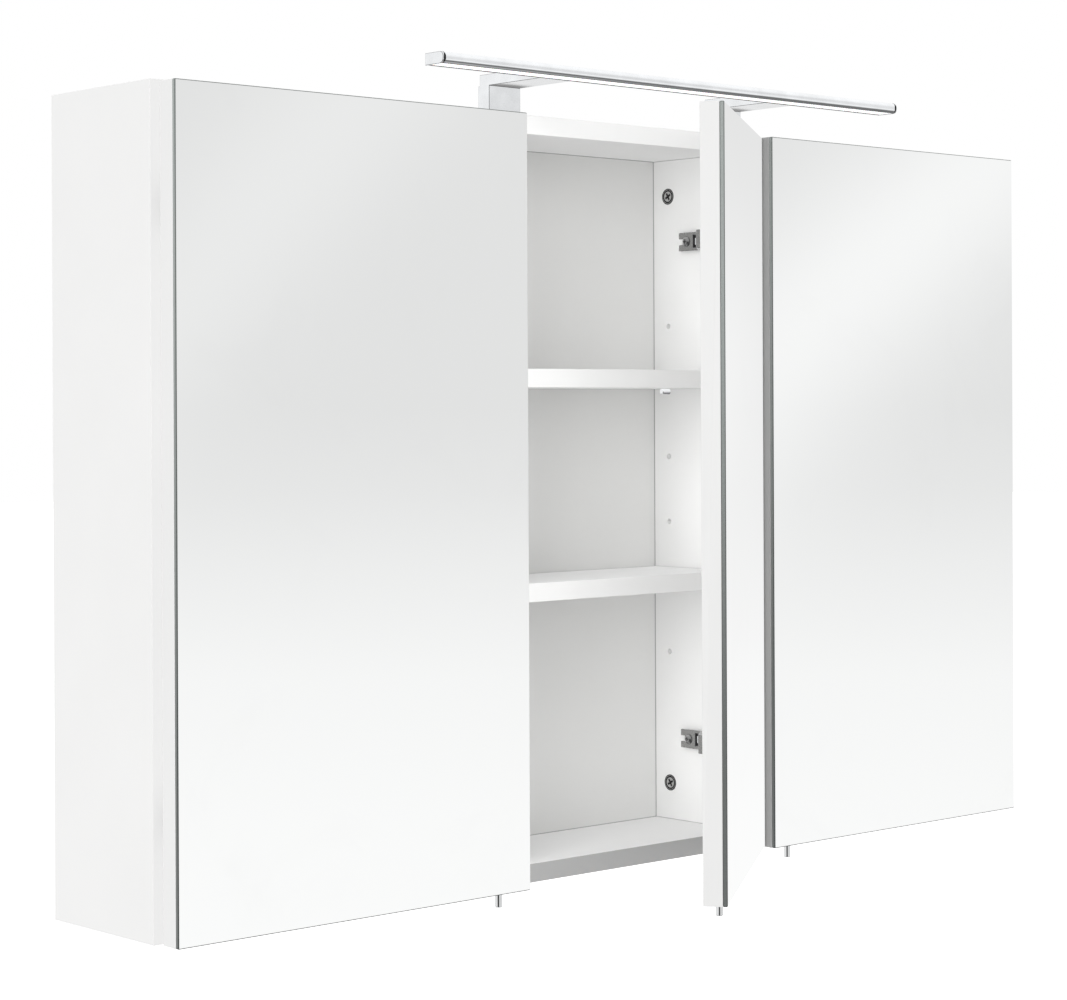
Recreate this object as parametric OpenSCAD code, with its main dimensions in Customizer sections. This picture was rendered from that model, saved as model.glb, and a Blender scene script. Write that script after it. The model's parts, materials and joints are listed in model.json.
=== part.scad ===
// Wall-hung bathroom mirror cabinet: three mirrored doors, two dividers, six shelves and an LED lamp bar.
// X runs along the wall, Y = 0 is the wall and the cabinet stands out towards -Y, Z is up.
// The origin lies on the wall, midway between the two hanging holes.

/* [Body] */
// Width of the cabinet body
body_w = 1000; // [940:10:1200]
// Height of the cabinet body
body_h = 650; // [620:10:800]
// Depth of the body, from the wall to the front edges of its boards
body_d = 138; // [134:1:180]
// Thickness of the boards, the dividers and the shelves
board_t = 16; // [16:0.5:19]
// Depth of the hollow between the back sheet and the wall
rear_hollow = 25; // [24:1:34]
// Thickness of the back sheet
back_t = 3; // [2:0.5:4]
// Depth of the grooves that hold the back sheet
groove_d = 5; // [3:0.5:7]
// Height of the body above the hanging holes
hang_drop = 60; // [50:1:80]
// Distance from the middle of each hanging hole to the side of the body
hang_inset = 48; // [44:1:56]

/* [Doors] */
// Width of each outer door
side_door_w = 351; // [330:1:370]
// Gap between neighbouring doors
door_gap = 3; // [3:0.5:5]
// Air gap between the body's front edges and the backs of the doors
door_standoff = 13; // [13:0.5:18]
// Thickness of a door's board
door_board_t = 16; // [16:0.5:19]
// Thickness of a door's mirror glass
mirror_t = 4; // [3:0.5:5]
// How far the doors stop below the top of the body
door_top_reveal = 3; // [0:0.5:6]
// How far the doors stop above the underside of the body
door_bottom_reveal = 2; // [0:0.5:6]
// Angle at which the middle door stands open
centre_open = 37; // [0:0.5:95]
// Length of a knob below its door
knob_l = 12; // [8:1:20]
// Diameter of a knob
knob_d = 6; // [5:0.5:8]
// Distance from the door's free edge to its knob
knob_inset = 27; // [15:1:60]

/* [Hinges] */
// Distance from a door's hinge edge to the hinge axis
pivot_u = 16; // [16:0.5:17]
// Depth of the hinge axis below the back of the door
pivot_v = 11.5; // [11.3:0.1:11.6]
// Height of the hinges above the underside and below the top
hinge_inset = 94; // [80:1:140]
// Diameter of a hinge cup
cup_d = 35; // [35:0.5:36]
// Depth of a hinge cup in the door
cup_depth = 14.6; // [14.5:0.1:14.8]
// Height of a hinge arm where it lies on the board
arm_h = 16.8; // [14:0.2:18]
// Height of a hinge arm's nose inside the cup
nose_h = 12; // [10:0.5:12]
// Thickness of the hinge arm
arm_t = 3; // [2.5:0.1:3]
// Diameter of the hinge pin
pin_d = 2.6; // [2.4:0.1:2.6]

/* [Shelves] */
// Setback of the shelves from the body's front edges
shelf_setback = 8; // [4:1:15]
// Height of the lowest shelf-support hole above the underside
support_first = 173; // [165:1:180]
// Spacing of the shelf-support holes
support_pitch = 61; // [50:1:62]
// Diameter of a shelf-support hole
support_d = 5; // [4:0.5:6]
// Length of a shelf support outside its hole
support_l = 9.5; // [8:0.5:12]

/* [Lamp] */
// Length of the lamp bar
lamp_w = 550; // [400:10:700]
// Depth of the lamp bar
lamp_d = 22; // [20:1:30]
// Height of the lamp bar
lamp_h = 9.5; // [9:0.5:14]
// Gap in height between the top of the body and the lamp bar
lamp_rise = 23.5; // [18:0.5:40]
// Distance from the body's front edges to the back of the lamp bar
lamp_reach = 52; // [40:1:80]
// Distance from the middle of the cabinet to each lamp bracket
bracket_x = 136; // [120:1:180]
// Width of a lamp bracket
bracket_w = 35; // [30:1:40]
// Number of light-emitting diodes
led_count = 30; // [10:1:40]

/* [Hidden] */
$fn = 48;
over = 1;                 // how far a cut runs past the face it starts at
slip = 0.1;               // clearance on the diameter of a screw, dowel or support in its hole
tip_room = 0.5;           // how much deeper a blind hole is than what goes into it
front_y = -body_d;
top_z = hang_drop;
base_z = top_z - body_h;
inner_x = body_w / 2 - board_t;
ceiling_z = top_z - board_t;
floor_z = base_z + board_t;
back_y = -rear_hollow - back_t;
divider_x = body_w / 2 - side_door_w - door_gap / 2;
divider_face = divider_x - board_t / 2;

// Doors, in a door's own frame: U runs from the hinge edge to the free edge, V = 0 is the door's back.
door_back_y = front_y - door_standoff;
door_z0 = base_z + door_bottom_reveal;
door_z1 = top_z - door_top_reveal;
centre_door_w = body_w - 2 * side_door_w - 2 * door_gap;
centre_edge_x = centre_door_w / 2;
side_face_u = board_t;
centre_face_u = centre_edge_x - divider_face;
knob_v = -(door_board_t + mirror_t) / 2;
hinge_zs = [base_z + hinge_inset, top_z - hinge_inset];

// Hinge cup and pin
cup_u = 5 + cup_d / 2;
cup_wall = 0.8;
cup_floor = 0.5;
flange_t = 1.2;
flange_w = 1.5;           // how far the round flange reaches past the cup
ear_u = cup_u + 5.5;      // screw line of the cup's ears
ear_z = 26;               // half the distance between the cup's screws
ear_r = 5;
cup_screw_d = 3.5;
cup_screw_l = 14;
lug_z = 9.6;              // inner face of the lugs that hold the pin
lug_t = 3.4;
lug_w = 8;
lug_rise = 3.2;           // how far the lugs reach past the pin towards the door's back
pin_l = 25;
spring_wire = 1;
spring_pitch = 0.9;

// Hinge arm and plate
eye_r = 2.3;
leg_u = pivot_u + 16;     // middle of the arm's leg
cheek_v = door_standoff + 2;
bend_v = door_standoff + 27;
foot_v = door_standoff + 46;
cheek_t = 1.5;
tail_v = door_standoff + 72;
slot_reach = 12;          // how far the slots in the arm are cut from its plate
nose_lap = 4;             // how far the nose stops short of the bend
arm_screw_depth = 6;
arm_screw_l = 11;
arm_head = [8.4, 2.6];    // diameter and height of the head of an arm screw
tail_slot = 5.6;          // fork in the tail, round the arm screw
arm_screw_v = door_standoff + 61;
arm_screw_d = 4.8;
arm_slot_v = door_standoff + 51;
arm_slot_w = 3.8;
arm_slot_h = 12;
plate_t = 2.5;
plate_h = 15;
plate_vs = [door_standoff + 24, door_standoff + 69];
plate_screw_vs = [door_standoff + 31, arm_slot_v];
plate_screw_d = 3.5;
plate_screw_l = 13;
plate_head_d = 7;
plate_head_h = 1.8;

// Knob stud
stud_d = 4;
stud_l = 15;
knob_rim = 0.5;           // chamfer at the knob's lower end

// Cam joints: each has its point on the joint plane, and a turn that puts local +Z into the board that
// holds the cam and local +X towards the face in which the cam shows.
cam_y = -47;
cam_reach = 34;
cam_d = 15;
cam_h = 12.5;
cam_groove = [5, 2.4];    // how much narrower than the cam the groove in its face is, inside and outside
cam_groove_depth = 0.6;
cam_turn = 30;            // how far the cams are turned when locked
cam_cross = 7.5;
cam_cross_depth = 2.5;
cam_mouth = 7.4;          // way for the bolt's head into the cam
thread_d = 5;
thread_l = 11;
sleeve_d = 6.6;
sleeve_l = 27;
bolt_neck_d = 4;
bolt_head_d = 6.8;
bolt_head_l = 4;
bolt_l = 35;
dowel_step = 32;
dowel_d = 8;
dowel_ends = [10, 18];    // how far a dowel reaches into the two boards
CAM_JOINTS = [
    [[-divider_x, cam_y, ceiling_z], [180, 0, 0]],
    [[-divider_x, cam_y, floor_z], [0, 0, 0]],
    [[divider_x, cam_y, ceiling_z], [180, 0, 180]],
    [[divider_x, cam_y, floor_z], [0, 0, 180]],
    [[-inner_x, cam_y, top_z - board_t / 2], [0, 90, 0]],
    [[inner_x, cam_y, top_z - board_t / 2], [0, 90, 180]],
    [[-inner_x, cam_y, base_z + board_t / 2], [0, -90, 180]],
    [[inner_x, cam_y, base_z + board_t / 2], [0, -90, 0]]
];

// Shelves
support_zs = [for (i = [0 : 5]) base_z + support_first + i * support_pitch];
support_ys = [front_y + 30, cam_y];
support_depth = 7;
support_play = 0.3;       // free depth behind a support in its hole
support_rim = 0.4;
shelf_zs = [support_zs[1] + support_d / 2, support_zs[4] + support_d / 2];
shelf_gap = 1;

// Lamp
lamp_back_y = front_y - lamp_reach;
lamp_front_y = lamp_back_y - lamp_d;
lamp_z = top_z + lamp_rise;
lamp_wall = 1.5;
lamp_nose = 3;            // thickness of the housing's front
lamp_round = 4;
cap_t = 2;
diffuser_t = 2;
diffuser_recess = 0.5;
lamp_slip = 0.1;          // play of the diffuser and the caps in the housing
cap_lug = 4;
led_board_w = 10;
led_board_t = 1.2;
led_margin = 8;           // end of the board to the end of the bar
led_size = 3;
led_t = 0.8;
led_span = lamp_w - 30;
post_d = 14;
post_y = front_y + 10;    // front face of a bracket's post
arm_back_y = post_y + 12;
lead_w = 8;               // width of the way for the lead inside a bracket
lead_h = 4;
lead_rise = 2.5;          // height of the way above the underside of the arm
lead_drop = 2;            // height of the way's outlet above the top of the body
lamp_screw_d = 3;
lamp_screw_l = 9;
lamp_head = [5, 1.6];     // diameter and height of the head of a lamp screw
lamp_screw_x = 11;
lamp_screw_z = lamp_z + 5.3;
bracket_screw_d = 4;
bracket_screw_x = bracket_x - 8;
bracket_screw_grip = 12;
bracket_head = [8, 2.6];  // diameter and height of the head of a bracket screw
grommet_d = 14;
grommet_lip = 2.5;
grommet_lip_h = 1.5;
lead_y = -rear_hollow / 2;

// Hangers and the lamp's driver
hanger_w = 60;
hanger_l = 58;
hanger_d = 22;
rail_t = 2;               // sheet thickness of the hanger plates
hang_x = body_w / 2 - hang_inset;
keyhole_d = 12;
keyhole_slot = 6;
keyhole_rise = 14;
hanger_screw_zs = [-4, 28];
hanger_screw_xs = [18, 46];
hanger_screw_d = 3.5;
hanger_screw_l = 14;
hanger_head_d = 7;
hanger_head_h = 2.4;
driver_w = 110;
driver_d = 20;
driver_h = 30;
driver_ear = 16;
driver_ear_t = 3;
driver_ear_w = 16;
gland_z = ceiling_z - driver_h / 2 - 2;
gland_d = 10;
gland_bore = 6;
gland_root = 5;           // how deep a gland sits in the case
gland_collar = 2;
gland_nose = 6;

// ---- shared shapes ----

// A block between two opposite corners.
module block(lo, hi) {
    translate(lo) cube(hi - lo);
}

// The same shape on the left and, mirrored, on the right.
module both_sides() {
    children();
    mirror([1, 0, 0]) children();
}

// A flat outline in Y and Z, drawn out along X.
module along_x(x0, run) {
    translate([x0, 0, 0]) rotate([90, 0, 90]) linear_extrude(run) children();
}

// The cross-shaped recess for a screwdriver, cut down from Z = 0.
module cross_recess(size, deep) {
    for (turn = [0, 90])
        rotate(turn) translate([-size / 2, -size / 7, -deep]) cube([size, size / 3.5, deep + over]);
}

// A pan-head screw that points down -Z with the underside of its head at Z = 0.
module pan_screw(shank_d, shank_l, head_d, head_h) {
    difference() {
        union() {
            translate([0, 0, -shank_l]) cylinder(d1 = shank_d / 3, d2 = shank_d, h = shank_d);
            translate([0, 0, shank_d - shank_l]) cylinder(d = shank_d, h = shank_l - shank_d + head_h / 2);
            cylinder(d = head_d, h = head_h / 2);
            translate([0, 0, head_h / 2]) cylinder(d1 = head_d, d2 = head_d * 0.62, h = head_h / 2);
        }
        translate([0, 0, head_h]) cross_recess(head_d * 0.5, head_h * 0.6);
    }
}

// A countersunk screw that points down -Z with the top of its head at Z = 0.
module flat_screw(shank_d, shank_l, head_d, head_h) {
    difference() {
        union() {
            translate([0, 0, -shank_l]) cylinder(d1 = shank_d / 3, d2 = shank_d, h = shank_d);
            translate([0, 0, shank_d - shank_l]) cylinder(d = shank_d, h = shank_l - shank_d - head_h / 2);
            translate([0, 0, -head_h]) cylinder(d1 = shank_d, d2 = head_d, h = head_h);
        }
        cross_recess(head_d * 0.5, head_h * 0.6);
    }
}

// ---- joints between the boards ----

module at_joints(which, y_shift = 0) {
    for (i = which)
        translate(CAM_JOINTS[i][0] + [0, y_shift, 0]) rotate(CAM_JOINTS[i][1]) children();
}

// Everything drilled for the cam joints in the list: bolt holes, cam pockets and dowel holes.
module joint_drilling(which) {
    at_joints(which) {
        translate([0, 0, -thread_l - tip_room]) cylinder(d = thread_d + slip, h = thread_l + tip_room + over);
        cylinder(d = dowel_d, h = cam_reach);
        translate([board_t / 2 - cam_h, 0, cam_reach]) rotate([0, 90, 0])
            cylinder(d = cam_d, h = cam_h + over);
    }
    for (k = [1, 2])
        at_joints(which, -k * dowel_step) translate([0, 0, -dowel_ends[0] - tip_room])
            cylinder(d = dowel_d + slip, h = dowel_ends[0] + dowel_ends[1] + 2 * tip_room);
}

module cam_locks() {
    color("dimgray")
    at_joints([0 : 7]) translate([board_t / 2 - cam_h, 0, cam_reach]) difference() {
        rotate([0, 90, 0]) cylinder(d = cam_d - slip, h = cam_h);
        translate([cam_h - board_t / 2, 0, -cam_d])
            cylinder(d = cam_mouth, h = cam_d + bolt_l + 1 - cam_reach);
        translate([cam_h - cam_groove_depth, 0, 0]) rotate([0, 90, 0]) difference() {
            cylinder(d = cam_d - cam_groove[1], h = over);
            translate([0, 0, -over]) cylinder(d = cam_d - cam_groove[0], h = 3 * over);
        }
        translate([cam_h, 0, 0]) rotate([cam_turn, 0, 0]) rotate([0, 90, 0])
            cross_recess(cam_cross, cam_cross_depth);
    }
}

module cam_bolts() {
    color("silver")
    at_joints([0 : 7]) {
        translate([0, 0, -thread_l]) cylinder(d = thread_d, h = thread_l);
        cylinder(d = sleeve_d, h = sleeve_l);
        cylinder(d = bolt_neck_d, h = bolt_l - bolt_head_l + over);
        translate([0, 0, bolt_l - bolt_head_l]) cylinder(d = bolt_head_d, h = bolt_head_l);
    }
}

module wood_dowels() {
    color("burlywood")
    for (k = [1, 2])
        at_joints([0 : 7], -k * dowel_step) {
            translate([0, 0, 1 - dowel_ends[0]]) cylinder(d = dowel_d, h = dowel_ends[0] + dowel_ends[1] - 2);
            translate([0, 0, -dowel_ends[0]]) cylinder(d1 = dowel_d - 2, d2 = dowel_d, h = 1);
            translate([0, 0, dowel_ends[1] - 1]) cylinder(d1 = dowel_d, d2 = dowel_d - 2, h = 1);
        }
}

// ---- the body ----

// Blind holes for shelf supports, drilled from the face at X = face_x towards the given side.
module support_drilling(face_x, side) {
    for (y = support_ys, z = support_zs)
        translate([face_x, y, z]) rotate([0, 90 * side, 0]) translate([0, 0, -over])
            cylinder(d = support_d + slip, h = support_depth + over);
}

module back_groove() {
    block([-inner_x - groove_d, back_y - slip, floor_z - groove_d],
          [inner_x + groove_d, -rear_hollow + slip, ceiling_z + groove_d]);
}

module side_panel() {
    difference() {
        block([-body_w / 2, front_y, base_z], [-inner_x, 0, top_z]);
        back_groove();
        joint_drilling([4, 6]);
        support_drilling(-inner_x, -1);
        at_left_hinges() hinge_drilling(side_face_u);
        hanger_drilling();
    }
}

module side_panel_left() {
    color("white") side_panel();
}

module side_panel_right() {
    color("white") mirror([1, 0, 0]) side_panel();
}

module top_panel() {
    color("white") difference() {
        block([-inner_x, front_y, ceiling_z], [inner_x, 0, top_z]);
        back_groove();
        joint_drilling([0, 2, 4, 5]);
        both_sides() {
            hanger_drilling();
            translate([-bracket_screw_x, post_y + post_d / 2, ceiling_z - over])
                cylinder(d = bracket_screw_d + slip, h = board_t + 2 * over);
        }
        translate([-bracket_x, lead_y, ceiling_z - over]) cylinder(d = grommet_d, h = board_t + 2 * over);
        driver_drilling();
    }
}

module bottom_panel() {
    color("white") difference() {
        block([-inner_x, front_y, base_z], [inner_x, 0, floor_z]);
        back_groove();
        joint_drilling([1, 3, 6, 7]);
    }
}

module divider_left() {
    color("white") difference() {
        block([-divider_face - board_t, front_y, floor_z], [-divider_face, back_y, ceiling_z]);
        joint_drilling([0, 1]);
        support_drilling(-divider_face, -1);
        support_drilling(-divider_face - board_t, 1);
    }
}

module divider_right() {
    color("white") difference() {
        block([divider_face, front_y, floor_z], [divider_face + board_t, back_y, ceiling_z]);
        joint_drilling([2, 3]);
        support_drilling(divider_face, 1);
        support_drilling(divider_face + board_t, -1);
        at_centre_hinges() hinge_drilling(centre_face_u);
    }
}

module back_sheet() {
    inset = groove_d - 0.5;
    color("whitesmoke")
    block([-inner_x - inset, back_y, floor_z - inset], [inner_x + inset, -rear_hollow, ceiling_z + inset]);
}

// ---- shelves ----

module shelf(x0, x1, level) {
    color("white")
    block([x0 + shelf_gap, front_y + shelf_setback, shelf_zs[level]],
          [x1 - shelf_gap, back_y - shelf_gap, shelf_zs[level] + board_t]);
}

module shelf_left_upper() shelf(-inner_x, -divider_face - board_t, 1);
module shelf_left_lower() shelf(-inner_x, -divider_face - board_t, 0);
module shelf_centre_upper() shelf(-divider_face, divider_face, 1);
module shelf_centre_lower() shelf(-divider_face, divider_face, 0);
module shelf_right_upper() shelf(divider_face + board_t, inner_x, 1);
module shelf_right_lower() shelf(divider_face + board_t, inner_x, 0);

// The four supports on one face of a board: a plain pin with a chamfered end.
module shelf_support(face_x, side) {
    for (y = support_ys, i = [1, 4])
        translate([face_x, y, support_zs[i]]) rotate([0, 90 * side, 0]) {
            translate([0, 0, support_play - support_depth])
                cylinder(d = support_d, h = support_l - support_rim + support_depth - support_play);
            translate([0, 0, support_l - support_rim])
                cylinder(d1 = support_d, d2 = support_d - 2 * support_rim, h = support_rim);
        }
}

module shelf_supports() {
    color("silver") both_sides() {
        shelf_support(-inner_x, 1);
        shelf_support(-divider_face, 1);
        shelf_support(-divider_face - board_t, -1);
    }
}

// ---- hangers, behind the back sheet in the upper corners ----

module at_hanger_screws() {
    for (z = hanger_screw_zs)
        translate([rail_t - inner_x, -hanger_d / 2, z]) rotate([0, 90, 0]) children();
    for (x = hanger_screw_xs)
        translate([x - inner_x, -hanger_d / 2, ceiling_z - rail_t]) rotate([0, 180, 0]) children();
}

module hanger_hole() {
    translate([0, 0, -hanger_screw_l - tip_room])
        cylinder(d = hanger_screw_d + slip, h = hanger_screw_l + tip_room + over);
}

module hanger_screw() {
    pan_screw(hanger_screw_d, hanger_screw_l, hanger_head_d, hanger_head_h);
}

module hanger_drilling() {
    at_hanger_screws() hanger_hole();
}

module hanger_plates() {
    color("silver") both_sides() difference() {
        union() {
            block([-inner_x, -rail_t, ceiling_z - hanger_l], [hanger_w - inner_x, 0, ceiling_z]);
            block([-inner_x, -hanger_d, ceiling_z - hanger_l], [rail_t - inner_x, 0, ceiling_z]);
            block([-inner_x, -hanger_d, ceiling_z - rail_t], [hanger_w - inner_x, 0, ceiling_z]);
        }
        hanger_drilling();
        translate([-hang_x, over, 0]) rotate([90, 0, 0]) {
            cylinder(d = keyhole_d, h = rail_t + 2 * over);
            translate([0, keyhole_rise, 0]) cylinder(d = keyhole_slot, h = rail_t + 2 * over);
            translate([-keyhole_slot / 2, 0, 0]) cube([keyhole_slot, keyhole_rise, rail_t + 2 * over]);
        }
    }
}

module hanger_screws() {
    color("silver") both_sides() at_hanger_screws() hanger_screw();
}

// ---- lamp ----

module lamp_outline() {
    translate([lamp_front_y, lamp_z]) {
        translate([lamp_round, 0]) square([lamp_d - lamp_round, lamp_h]);
        translate([0, lamp_round]) square([lamp_d, lamp_h - 2 * lamp_round]);
        for (z = [lamp_round, lamp_h - lamp_round])
            translate([lamp_round, z]) circle(r = lamp_round);
    }
}

module at_lamp_screws() {
    for (side = [-1, 1], dx = [-lamp_screw_x, lamp_screw_x])
        translate([side * bracket_x + dx, lamp_back_y - lamp_wall, lamp_screw_z])
            rotate([90, 0, 0]) children();
}

module lamp_housing() {
    color("gainsboro") difference() {
        along_x(cap_t - lamp_w / 2, lamp_w - 2 * cap_t) lamp_outline();
        block([-lamp_w / 2, lamp_front_y + lamp_nose, lamp_z - over],
              [lamp_w / 2, lamp_back_y - lamp_wall, lamp_z + lamp_h - lamp_wall]);
        at_lamp_screws() translate([0, 0, -lamp_wall - over])
            cylinder(d = lamp_screw_d + slip, h = lamp_wall + 2 * over);
        for (side = [-1, 1])
            block([side * bracket_x - lead_w / 2, lamp_back_y - lamp_wall - over, lamp_z + lead_rise],
                  [side * bracket_x + lead_w / 2, lamp_back_y + over, lamp_z + lead_rise + lead_h]);
    }
}

module lamp_end_cap() {
    along_x(-lamp_w / 2, cap_t) lamp_outline();
    block([cap_t - lamp_w / 2, lamp_front_y + lamp_nose + lamp_slip, lamp_z + lamp_h - lamp_wall - cap_lug],
          [cap_t - lamp_w / 2 + cap_lug, lamp_back_y - lamp_wall - lamp_slip,
           lamp_z + lamp_h - lamp_wall - lamp_slip]);
}

module lamp_end_cap_left() {
    color("gainsboro") lamp_end_cap();
}

module lamp_end_cap_right() {
    color("gainsboro") mirror([1, 0, 0]) lamp_end_cap();
}

module lamp_diffuser() {
    color("white")
    block([cap_t - lamp_w / 2, lamp_front_y + lamp_nose + lamp_slip, lamp_z + diffuser_recess],
          [lamp_w / 2 - cap_t, lamp_back_y - lamp_wall - lamp_slip, lamp_z + diffuser_recess + diffuser_t]);
}

module lamp_led_board() {
    mid_y = (lamp_front_y + lamp_back_y) / 2;
    top = lamp_z + lamp_h - lamp_wall;
    color("seagreen")
    block([led_margin - lamp_w / 2, mid_y - led_board_w / 2, top - led_board_t],
          [lamp_w / 2 - led_margin, mid_y + led_board_w / 2, top]);
}

module lamp_leds() {
    mid_y = (lamp_front_y + lamp_back_y) / 2;
    low = lamp_z + lamp_h - lamp_wall - led_board_t - led_t;
    pitch = led_span / led_count;
    color("khaki")
    for (i = [0 : led_count - 1])
        translate([(i - (led_count - 1) / 2) * pitch - led_size / 2, mid_y - led_size / 2, low])
            cube([led_size, led_size, led_t]);
}

// A post on the body's top with an arm reaching forward to the lamp, and a way for the lead inside.
module lamp_bracket() {
    difference() {
        union() {
            block([-bracket_x - bracket_w / 2, post_y, top_z],
                  [bracket_w / 2 - bracket_x, post_y + post_d, lamp_z]);
            block([-bracket_x - bracket_w / 2, lamp_back_y, lamp_z],
                  [bracket_w / 2 - bracket_x, arm_back_y, lamp_z + lamp_h]);
        }
        block([-bracket_x - lead_w / 2, lamp_back_y - over, lamp_z + lead_rise],
              [lead_w / 2 - bracket_x, post_y + post_d / 2, lamp_z + lead_rise + lead_h]);
        block([-bracket_x - lead_w / 2, post_y + post_d / 2 - lead_h, top_z + lead_drop],
              [lead_w / 2 - bracket_x, post_y + post_d / 2, lamp_z + lead_rise + lead_h]);
        block([-bracket_x - lead_w / 2, post_y + post_d / 2 - lead_h, top_z + lead_drop],
              [lead_w / 2 - bracket_x, post_y + post_d + over, top_z + lead_drop + lead_h]);
        translate([-bracket_screw_x, post_y + post_d / 2, top_z - over])
            cylinder(d = bracket_screw_d + slip, h = bracket_screw_grip + 2 * over);
        at_lamp_screws() translate([0, 0, -lamp_screw_l - tip_room])
            cylinder(d = lamp_screw_d + slip, h = lamp_screw_l);
    }
}

module lamp_bracket_left() {
    color("lightsteelblue") lamp_bracket();
}

module lamp_bracket_right() {
    color("lightsteelblue") mirror([1, 0, 0]) lamp_bracket();
}

module lamp_housing_screws() {
    color("silver") at_lamp_screws() pan_screw(lamp_screw_d, lamp_screw_l, lamp_head[0], lamp_head[1]);
}

module lamp_bracket_screws() {
    color("silver") both_sides()
        translate([-bracket_screw_x, post_y + post_d / 2, ceiling_z]) rotate([180, 0, 0])
            pan_screw(bracket_screw_d, board_t + bracket_screw_grip, bracket_head[0], bracket_head[1]);
}

module lead_grommet() {
    color("dimgray") translate([-bracket_x, lead_y, 0]) difference() {
        union() {
            translate([0, 0, ceiling_z]) cylinder(d = grommet_d, h = board_t);
            translate([0, 0, top_z]) cylinder(d = grommet_d + 2 * grommet_lip, h = grommet_lip_h);
        }
        translate([0, 0, ceiling_z - over]) cylinder(d = lead_w, h = board_t + grommet_lip_h + 2 * over);
    }
}

// ---- driver of the lamp, under the top board behind the back sheet ----

module at_driver_screws() {
    for (side = [-1, 1])
        translate([side * (driver_w + driver_ear) / 2, lead_y, ceiling_z - driver_ear_t])
            rotate([180, 0, 0]) children();
}

module driver_drilling() {
    at_driver_screws() hanger_hole();
}

module lamp_driver() {
    color("ivory") difference() {
        union() {
            block([-driver_w / 2, lead_y - driver_d / 2, ceiling_z - driver_h],
                  [driver_w / 2, lead_y + driver_d / 2, ceiling_z]);
            block([-driver_w / 2 - driver_ear, lead_y - driver_ear_w / 2, ceiling_z - driver_ear_t],
                  [driver_w / 2 + driver_ear, lead_y + driver_ear_w / 2, ceiling_z]);
        }
        driver_drilling();
        for (side = [-1, 1])
            translate([side * driver_w / 2, lead_y, gland_z]) rotate([0, -90 * side, 0])
                translate([0, 0, -over]) cylinder(d = gland_d, h = gland_root + over);
    }
}

module driver_glands() {
    color("dimgray")
    for (side = [-1, 1])
        translate([side * driver_w / 2, lead_y, gland_z]) rotate([0, 90 * side, 0])
            difference() {
                union() {
                    translate([0, 0, -gland_root]) cylinder(d = gland_d, h = gland_root);
                    cylinder(d = gland_d + 3, h = gland_collar);
                    translate([0, 0, gland_collar]) cylinder(d1 = gland_d, d2 = gland_d - 2, h = gland_nose);
                }
                translate([0, 0, -gland_root - over])
                    cylinder(d = gland_bore, h = gland_root + gland_collar + gland_nose + 2 * over);
            }
}

module driver_screws() {
    color("silver") at_driver_screws() hanger_screw();
}

// ---- hinges: one pin per hinge, held in the cup; the arm's nose turns on it ----

module at_left_hinges() {
    translate([-body_w / 2, door_back_y, 0])
        for (z = hinge_zs)
            translate([0, 0, z]) children();
}

module at_right_hinges() {
    mirror([1, 0, 0]) at_left_hinges() children();
}

module at_centre_hinges() {
    translate([centre_edge_x, door_back_y, 0]) mirror([1, 0, 0])
        for (z = hinge_zs)
            translate([0, 0, z]) children();
}

// A shape drawn along +U from the board's face at U = face_u.
module on_face(face_u, v) {
    translate([face_u, v, 0]) rotate([0, 90, 0]) children();
}

module hinge_drilling(face_u) {
    for (v = plate_screw_vs)
        on_face(face_u, v) translate([0, 0, plate_t - plate_screw_l - tip_room])
            cylinder(d = plate_screw_d + slip, h = plate_screw_l);
    on_face(face_u, arm_screw_v) translate([0, 0, -arm_screw_depth])
        cylinder(d = arm_screw_d + slip, h = arm_screw_depth + over);
}

module hinge_plate(face_u) {
    difference() {
        block([face_u, plate_vs[0], -plate_h / 2], [face_u + plate_t, plate_vs[1], plate_h / 2]);
        for (v = plate_screw_vs)
            on_face(face_u, v) {
                translate([0, 0, -over]) cylinder(d = plate_screw_d + slip, h = plate_t + 2 * over);
                translate([0, 0, plate_t - plate_head_h])
                    cylinder(d1 = plate_screw_d, d2 = plate_head_d + 2 * slip, h = plate_head_h + slip / 2);
            }
        on_face(face_u, arm_screw_v) translate([0, 0, -over])
            cylinder(d = arm_screw_d + slip, h = plate_t + 2 * over);
    }
}

module hinge_plates() {
    color("silver") {
        at_left_hinges() hinge_plate(side_face_u);
        at_right_hinges() hinge_plate(side_face_u);
        at_centre_hinges() hinge_plate(centre_face_u);
    }
}

module plate_screws(face_u) {
    for (v = plate_screw_vs)
        on_face(face_u, v) translate([0, 0, plate_t])
            flat_screw(plate_screw_d, plate_screw_l, plate_head_d, plate_head_h);
}

module hinge_plate_screws() {
    color("silver") {
        at_left_hinges() plate_screws(side_face_u);
        at_right_hinges() plate_screws(side_face_u);
        at_centre_hinges() plate_screws(centre_face_u);
    }
}

// A bent strip: straight runs of even thickness with a round at each bend.
module strip(points) {
    for (i = [0 : len(points) - 2]) {
        way = points[i + 1] - points[i];
        translate(points[i]) rotate(atan2(way[1], way[0])) translate([0, -arm_t / 2])
            square([norm(way), arm_t]);
    }
    for (p = points)
        translate(p) circle(d = arm_t);
}

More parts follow.
